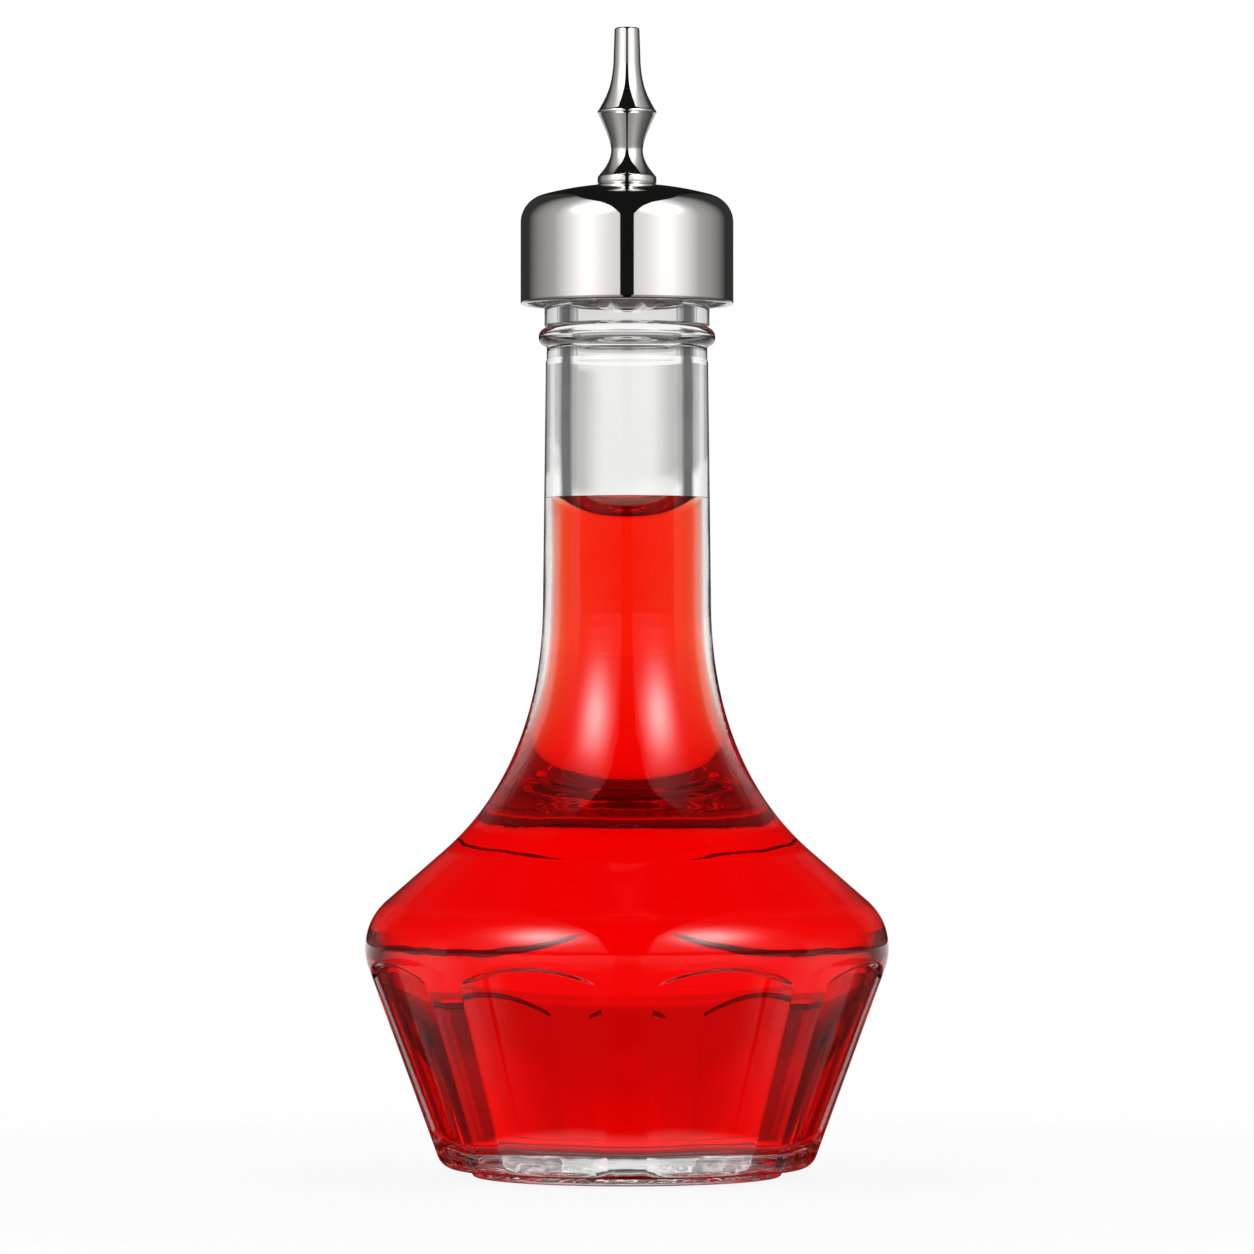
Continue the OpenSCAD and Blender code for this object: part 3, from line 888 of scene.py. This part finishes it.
class BITTERS_OT_studio(bpy.types.Operator):
    """Set up the floor, the lights, the white world and the camera"""

    bl_idname = "bitters.studio"
    bl_label = "Studio"

    def execute(self, context):
        t = context.scene.bitters_studio
        self.floor()
        self.mirrored_light(t)
        self.seen_through_light(t)
        self.world(context.scene, t)
        self.camera(context.scene, t)
        context.scene.view_settings.view_transform = "Standard"
        context.scene.cycles.max_bounces = 40
        context.scene.cycles.transmission_bounces = 36
        context.scene.cycles.glossy_bounces = 16
        return {"FINISHED"}

    def floor(self):
        """A pale floor that fades into the white round the bottle and keeps its shadow. Through glass it glows white,
        with painted shade under the foot and, for light that a glass wall has mirrored, in front of the bottle. In
        mirrors it glows with painted light: a pool from the softboxes further out, the painted shadow of the gap
        between them, a bright back part and a painted bright rim just outside the foot."""
        floor = lathe("floor", [(r, -20 * MICRON) for r in (0.0, 0.1, 0.4, 3.0)], 96)
        shader = Shader(bpy.data.materials.new("floor_white"))
        place = shader.node("ShaderNodeTexCoord", output="Object")
        away = shader.node("ShaderNodeVectorMath", {"operation": "LENGTH"}, {0: place}, "Value")
        seen = fade(shader, away, 0.03, 0.25, 0.9, 1.0)
        turn, gap, y = self.beside(shader, place)
        # Painted shade: for light that a glass wall has mirrored, the floor in front of the bottle glows dimmer.
        front = 1 - (1 - fade(shader, y, -0.14, -0.08, 0.4, 0.1)) * self.turned_back(shader)
        # Painted shade: seen through glass, the floor under the bottle's foot glows dark.
        behind = fade(shader, away, 0.03, 0.08, 0.15, 1.0) * fade(shader, y, -0.04, 0.0, front, 1.0)
        # Painted highlight: a bright rim on the floor just outside the foot, seen in mirrors.
        near = fade(shader, away, 0.0275, 0.029, 0.0, 1.3) * fade(shader, away, 0.033, 0.0355, 1.0, 0.0)
        near = near * fade(shader, y, -0.023, -0.019, 1.0, 0.0)
        # Painted light: the softboxes' light on the floor further out, seen in mirrors, with the painted shadow of
        # their gap.
        far = fade(shader, away, 0.05, 0.16, 0.03, 0.52) + fade(shader, away, 0.25, 1.8, 0.0, 0.15)
        dim = far * turn * gap + near
        camera = shader.node("ShaderNodeLightPath", output="Is Camera Ray")
        path = camera.socket.node
        through = Wire(shader, path.outputs["Is Transmission Ray"])
        mirrored = Wire(shader, path.outputs["Is Glossy Ray"]) * (1 - through)
        matt = shader.node("ShaderNodeBsdfDiffuse", None, {"Color": (0.9, 0.9, 0.9, 1.0)})
        # The glow level carries the painted light and shade above, for mirror and through-glass rays.
        level = 1 - mirrored * (1 - dim) - through * (1 - behind)
        glow = shader.node("ShaderNodeEmission", None, {"Color": (1.0, 1.0, 1.0, 1.0), "Strength": level})
        share_ = seen * camera + 0.97 * through + mirrored
        mixed = shader.node("ShaderNodeMixShader", None, {0: share_, 1: matt, 2: glow})
        shader.node("ShaderNodeOutputMaterial", None, {"Surface": mixed})
        floor.data.materials.append(shader.owner)

    def beside(self, shader, place):
        """Painted light on the floor: how bright the softboxes' light is painted by the turn from the camera's side,
        with a bright back part, and the painted shadow of the dark gap between them.
        """
        axes = shader.node("ShaderNodeSeparateXYZ", None, {"Vector": place}, "X")
        y = Wire(shader, axes.socket.node.outputs["Y"])
        turn = abs(shader.node("ShaderNodeMath", {"operation": "ARCTAN2"}, {0: axes, 1: 0.0 - y}))
        sides = ramp(shader, turn / math.pi, [
            (a / 180, level) for a, level in (
                (7, 0.62), (20, 0.72), (38, 0.95), (50, 0.95), (68, 0.66), (85, 0.35), (112, 0.2), (134, 0.1),
                (150, 0.9), (165, 1.5)
            )
        ])
        return sides, fade(shader, turn, math.radians(4), math.radians(6), 0.0, 1.0), y

    def dome(self, name, radius, strength_of):
        """A dome that glows on its inside by a rule of direction, and that the camera doesn't see."""
        piece = lathe(name, arc((0.0, 0.0), radius, -4.0, 90.0, 32), 96)
        shader = Shader(bpy.data.materials.new(name + "_glow"))
        place = shader.node("ShaderNodeTexCoord", output="Object")
        axes = shader.node("ShaderNodeSeparateXYZ", None, {"Vector": place}, "X")
        node = axes.socket.node
        x, y, z = (Wire(shader, node.outputs[key]) / radius for key in ("X", "Y", "Z"))
        strength = strength_of(shader, x, y, z)
        glow = shader.node("ShaderNodeEmission", None, {"Color": (1.0, 1.0, 1.0, 1.0), "Strength": strength})
        shader.node("ShaderNodeOutputMaterial", None, {"Surface": glow})
        shader.owner.cycles.emission_sampling = "NONE"
        piece.data.materials.append(shader.owner)
        piece.visible_camera = False
        piece.visible_diffuse = False
        piece.visible_shadow = False
        piece.visible_volume_scatter = False
        return piece

    def softboxes(self, shader, t, x, y, z, glass_share, glass_core):
        """Two tall softboxes beside the camera with a dark gap between them. Each has a hot middle
        and a lower edge that is dimmer."""
        turn = abs(shader.node("ShaderNodeMath", {"operation": "ARCTAN2"}, {0: x, 1: 0.0 - y}))
        rise = shader.node("ShaderNodeMath", {"operation": "ARCSINE"}, {0: z})
        sides = ramp(shader, turn / math.pi, [
            (a / 180, level) for a, level in (
                (7, 0.62), (20, 0.72), (38, 0.95), (50, 0.95), (68, 0.66), (85, 0.35), (112, 0.2), (134, 0.02)
            )
        ])
        heights = ramp(shader, z, [(0.0, 0.45), (0.085, 0.6), (0.11, 1.0), (0.88, 1.0), (0.93, 0.07), (1.0, 0.05)])
        off = ((turn - t.core_turn) / t.core_w) ** 2 + ((rise - t.core_rise) / t.core_h) ** 2
        core = t.core * shader.node("ShaderNodeMath", {"operation": "EXPONENT"}, {0: 0.0 - off})
        gap = ramp(shader, z, [(0.0, 0.122), (0.2, 0.127), (0.5, 0.2), (0.7, 0.26), (0.85, 0.34), (1.0, 0.6)])
        slot = fade(shader, abs(x) - gap, 0.0, 0.004, 0.0, 1.0)
        sharp = shader.node("ShaderNodeLightPath", output="Is Singular Ray")
        level = t.softbox * (1 - (1 - glass_share) * sharp)
        return (sides * heights * level + core * (1 - (1 - glass_core) * sharp)) * slot + t.shade

    def turned_back(self, shader):
        """1 on light that a wall of the glass has mirrored on its way, and 0 on light straight through it."""
        path = shader.node("ShaderNodeLightPath", output="Glossy Depth")
        return shader.node("ShaderNodeMath", {"operation": "MINIMUM"}, {0: path, 1: 1.0})

    def mirrored_light(self, t):
        """The softboxes as metal and glass mirror them."""
        piece = self.dome("mirrored_light", t.light_r, lambda *place: self.softboxes(place[0], t, *place[1:], t.glass_share, 1.6))
        piece.visible_transmission = False

    def seen_through_light(self, t):
        """What shows through the glass: white paper behind the bottle, which ends beside it and
        darkens upwards, and the softboxes in front."""
        def strength(shader, x, y, z):
            turn = abs(shader.node("ShaderNodeMath", {"operation": "ARCTAN2"}, {0: x, 1: abs(y)})) / (math.pi / 2)
            low = ramp(shader, turn, [
                (a / 90, level) for a, level in ((0, 1.04), (30, 1.02), (37, 0.66), (44, 0.12), (62, 0.12), (75, 0.5), (90, 0.75))
            ])
            high = ramp(shader, turn, [
                (a / 90, level) for a, level in (
                    (0, 0.93), (10, 0.92), (22.5, 0.96), (24, 0.38), (26, 0.38), (27.5, 0.87), (34, 0.3),
                    (46, 0.12), (62, 0.12), (78, 0.4), (90, 0.75)
                )
            ])
            middle = ramp(shader, turn, [
                (a / 90, level) for a, level in (
                    (0, 0.93), (6, 0.92), (9, 0.82), (12, 0.7), (15, 0.62), (22, 0.56), (34, 0.4), (42, 0.14),
                    (62, 0.14), (78, 0.4), (90, 0.75)
                )
            ])
            up = fade(shader, z, 0.135, 0.143, 0.0, 1.0)
            high = middle + (high - middle) * fade(shader, z, 0.176, 0.184, 0.0, 1.0)
            upper = ramp(shader, z, [(0.0, 1.0), (0.185, 0.98), (0.225, 0.71), (0.27, 0.64), (0.44, 0.15), (1.0, 0.1)])
            paper = (low + (high - low) * up) * upper
            dim = self.softboxes(shader, t, x, y, z, fade(shader, z, 0.1, 0.2, 0.03, 0.5), 0.15)
            return paper + (dim - paper) * self.turned_back(shader) * fade(shader, y, -0.02, 0.02, 1.0, 0.0)

        piece = self.dome("seen_through_light", t.paper_r, strength)
        piece.visible_glossy = False

    def world(self, scene, t):
        """White to the camera, an even level on matt surfaces and shade elsewhere."""
        shader = Shader(bpy.data.worlds.new("white_studio"))
        path = shader.node("ShaderNodeLightPath", output="Is Camera Ray")
        node = path.socket.node
        glossy = Wire(shader, node.outputs["Is Glossy Ray"])
        through = Wire(shader, node.outputs["Is Transmission Ray"])
        mirrored = shader.node("ShaderNodeMath", {"operation": "MAXIMUM"}, {0: glossy, 1: through})
        level = path + (1 - path) * (t.ambient + (t.shade - t.ambient) * mirrored)
        sky = shader.node("ShaderNodeBackground", None, {"Color": (1.0, 1.0, 1.0, 1.0), "Strength": level})
        shader.node("ShaderNodeOutputWorld", None, {"Surface": sky})
        scene.world = shader.owner

    def camera(self, scene, t):
        """The camera at the photograph's place."""
        start_clean()
        bpy.ops.object.camera_add(location=t.eye)
        camera = bpy.context.object
        camera.name = "camera"
        camera.data.lens = t.lens
        camera.data.sensor_width = 36.0
        camera.data.clip_start = 0.01
        look = Vector((0.0, 0.0, t.aim_z)) - Vector(t.eye)
        camera.rotation_euler = look.to_track_quat("-Z", "Y").to_euler()
        scene.camera = camera


PIECES = (
    BITTERS_OT_glass_bottle,
    BITTERS_OT_filling,
    BITTERS_OT_cap,
    BITTERS_OT_spout,
    BITTERS_OT_seals,
    BITTERS_OT_fasteners,
    BITTERS_OT_studio,
)

SETTINGS = {
    "bitters_bottle": BottleSettings,
    "bitters_filling": FillingSettings,
    "bitters_cap": CapSettings,
    "bitters_spout": SpoutSettings,
    "bitters_stopper": StopperSettings,
    "bitters_studio": StudioSettings,
}


class BITTERS_PT_bottle(bpy.types.Panel):
    """Sizes and pieces of the bitters bottle"""

    bl_label = "Bitters bottle"
    bl_idname = "BITTERS_PT_bottle"
    bl_space_type = "VIEW_3D"
    bl_region_type = "UI"
    bl_category = "Bitters"

    def draw(self, context):
        for piece in PIECES:
            self.layout.operator(piece.bl_idname)
        for name, group in SETTINGS.items():
            box = self.layout.box()
            box.label(text=group.__doc__)
            for key in group.__annotations__:
                box.prop(getattr(context.scene, name), key)


def register():
    for group in SETTINGS.values():
        bpy.utils.register_class(group)
    for name, group in SETTINGS.items():
        setattr(bpy.types.Scene, name, bpy.props.PointerProperty(type=group))
    for piece in PIECES:
        bpy.utils.register_class(piece)
    bpy.utils.register_class(BITTERS_PT_bottle)


def unregister():
    bpy.utils.unregister_class(BITTERS_PT_bottle)
    for piece in reversed(PIECES):
        bpy.utils.unregister_class(piece)
    for name in SETTINGS:
        delattr(bpy.types.Scene, name)
    for group in reversed(SETTINGS.values()):
        bpy.utils.unregister_class(group)


def main():
    register()
    bpy.ops.bitters.glass_bottle()
    bpy.ops.bitters.filling()
    bpy.ops.bitters.cap()
    bpy.ops.bitters.spout()
    bpy.ops.bitters.seals()
    bpy.ops.bitters.fasteners()
    bpy.ops.bitters.studio()


if __name__ == "__main__":
    main()
